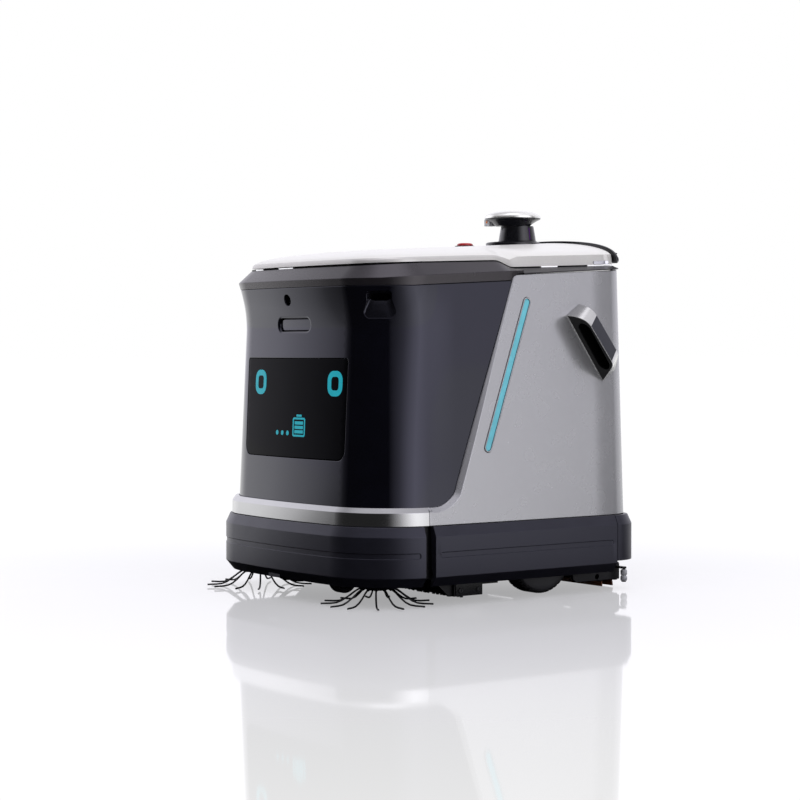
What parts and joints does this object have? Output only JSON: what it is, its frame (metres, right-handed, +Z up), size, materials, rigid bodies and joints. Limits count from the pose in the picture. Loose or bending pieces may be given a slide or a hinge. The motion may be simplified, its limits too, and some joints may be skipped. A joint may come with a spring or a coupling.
{
  "type": "robotic floor cleaner",
  "caption": "Self-driving commercial floor cleaner with a glossy black display front, silver side panels, hinged lid with lidar, touch bumper, sweeping brushes and a squeegee.",
  "frame": {"origin": "on the floor, under the middle of the machine", "axes": "+Z up, front of the machine towards -Y, +X to the machine's left as it drives"},
  "size_m": [0.6066, 0.6238, 0.6855],
  "materials": {
    "bumper_plastic": "satin moulded grey",
    "silver_paint": "metallic silver paint",
    "shell_gloss": "piano black gloss",
    "visor_metallic": "dark bronze metallic",
    "lid_paint": "pale satin",
    "frame_black": "matt black",
    "dark_glass": "dark clear cover",
    "light_cyan": "lit diffuser",
    "emergency_red": "red moulded",
    "tyre_rubber": "black rubber",
    "bristle": "black nylon",
    "steel": "zinc plated",
    "tank_plastic": "milky moulded",
    "motor_grey": "grey case",
    "battery_case": "blue case",
    "blade_rubber": "amber rubber",
    "roller_plastic": "pale moulded",
    "contact_brass": "bare metal"
  },
  "bodies": {
    "base": {"chassis_tray": "frame_black", "brush_deck": "frame_black", "squeegee_bracket_right": "frame_black", "squeegee_bracket_left": "frame_black", "rear_bumper": "bumper_plastic", "side_bumper_right": "bumper_plastic", "side_bumper_left": "bumper_plastic", "front_sill": "silver_paint", "side_panel_right": "silver_paint", "side_panel_left": "silver_paint", "handle_right": "silver_paint", "handle_left": "silver_paint", "light_strip_right": "light_cyan", "light_strip_left": "light_cyan", "visor": "visor_metallic", "rear_band": "visor_metallic", "rear_panel": "visor_metallic", "charge_contact_right": "contact_brass", "charge_contact_left": "contact_brass", "front_shell": "shell_gloss", "corner_sensor_right": "shell_gloss", "corner_sensor_left": "shell_gloss", "display_panel": "dark_glass", "depth_camera": "dark_glass", "front_camera": "dark_glass", "control_box": "motor_grey", "suction_motor": "motor_grey", "brush_motor": "motor_grey", "drive_motor_right": "motor_grey", "drive_motor_left": "motor_grey", "side_brush_motor_right": "motor_grey", "side_brush_motor_left": "motor_grey", "clean_water_tank": "tank_plastic", "recovery_tank": "tank_plastic", "battery_pack": "battery_case", "suction_hose": "tyre_rubber", "caster_mount": "steel"},
    "touch_bumper": {"front_bumper": "bumper_plastic"},
    "lid": {"lid_shell": "lid_paint", "lid_hinge_arch": "frame_black", "lidar_base": "frame_black", "lidar_window": "dark_glass", "lidar_cap": "silver_paint", "estop_collar": "frame_black"},
    "lidar_head": {"lidar_rotor": "motor_grey"},
    "stop_button": {"estop_button": "emergency_red"},
    "drive_wheel_right": {"drive_tyre_right": "tyre_rubber", "drive_hub_right": "frame_black"},
    "drive_wheel_left": {"drive_tyre_left": "tyre_rubber", "drive_hub_left": "frame_black"},
    "caster": {"caster_fork": "steel"},
    "caster_roller": {"caster_wheel": "tyre_rubber"},
    "brush_roller": {"main_brush": "bristle"},
    "sweeper_right": {"side_brush_right": "bristle"},
    "sweeper_left": {"side_brush_left": "bristle"},
    "squeegee": {"squeegee_frame": "frame_black", "squeegee_blade_front": "blade_rubber", "squeegee_blade_rear": "blade_rubber"},
    "roller_right": {"guide_roller_right": "roller_plastic"},
    "roller_left": {"guide_roller_left": "roller_plastic"}
  },
  "joints": [
    {"name": "bumper_press", "type": "slide", "parent": "base", "child": "touch_bumper", "axis": [0, 1, 0], "range_m": [0, 0.006], "stiffness_N_per_m": 1500, "springref_m": -0.002},
    {"name": "lid_open", "type": "hinge", "parent": "base", "child": "lid", "pos_m": [0, 0.292, 0.59], "axis": [-1, 0, 0], "range_deg": [0, 70]},
    {"name": "lidar_spin", "type": "hinge", "parent": "lid", "child": "lidar_head", "pos_m": [0, 0.227, 0.64], "axis": [0, 0, 1], "continuous": true},
    {"name": "stop_press", "type": "slide", "parent": "lid", "child": "stop_button", "axis": [0, 0, -1], "range_m": [0, 0.004], "stiffness_N_per_m": 400, "springref_m": -0.002},
    {"name": "drive_right", "type": "hinge", "parent": "base", "child": "drive_wheel_right", "pos_m": [0.196, 0.118, 0.067], "axis": [1, 0, 0], "continuous": true},
    {"name": "drive_left", "type": "hinge", "parent": "base", "child": "drive_wheel_left", "pos_m": [-0.196, 0.118, 0.067], "axis": [1, 0, 0], "continuous": true},
    {"name": "caster_swivel", "type": "hinge", "parent": "base", "child": "caster", "pos_m": [0, -0.176, 0.058], "axis": [0, 0, 1], "continuous": true},
    {"name": "caster_roll", "type": "hinge", "parent": "caster", "child": "caster_roller", "pos_m": [0, -0.16, 0.025], "axis": [1, 0, 0], "continuous": true},
    {"name": "brush_spin", "type": "hinge", "parent": "base", "child": "brush_roller", "pos_m": [0, -0.056, 0.045], "axis": [1, 0, 0], "continuous": true},
    {"name": "sweep_right", "type": "hinge", "parent": "base", "child": "sweeper_right", "pos_m": [0.183, -0.2164, 0.04], "axis": [0, 0, 1], "continuous": true},
    {"name": "sweep_left", "type": "hinge", "parent": "base", "child": "sweeper_left", "pos_m": [-0.183, -0.2164, 0.04], "axis": [0, 0, 1], "continuous": true},
    {"name": "squeegee_lift", "type": "hinge", "parent": "base", "child": "squeegee", "pos_m": [0, 0.196, 0.066], "axis": [1, 0, 0], "range_deg": [0, 8]},
    {"name": "guide_right", "type": "hinge", "parent": "squeegee", "child": "roller_right", "pos_m": [0.234, 0.293, 0.022], "axis": [0, 0, 1], "continuous": true},
    {"name": "guide_left", "type": "hinge", "parent": "squeegee", "child": "roller_left", "pos_m": [-0.234, 0.293, 0.022], "axis": [0, 0, 1], "continuous": true}
  ]
}
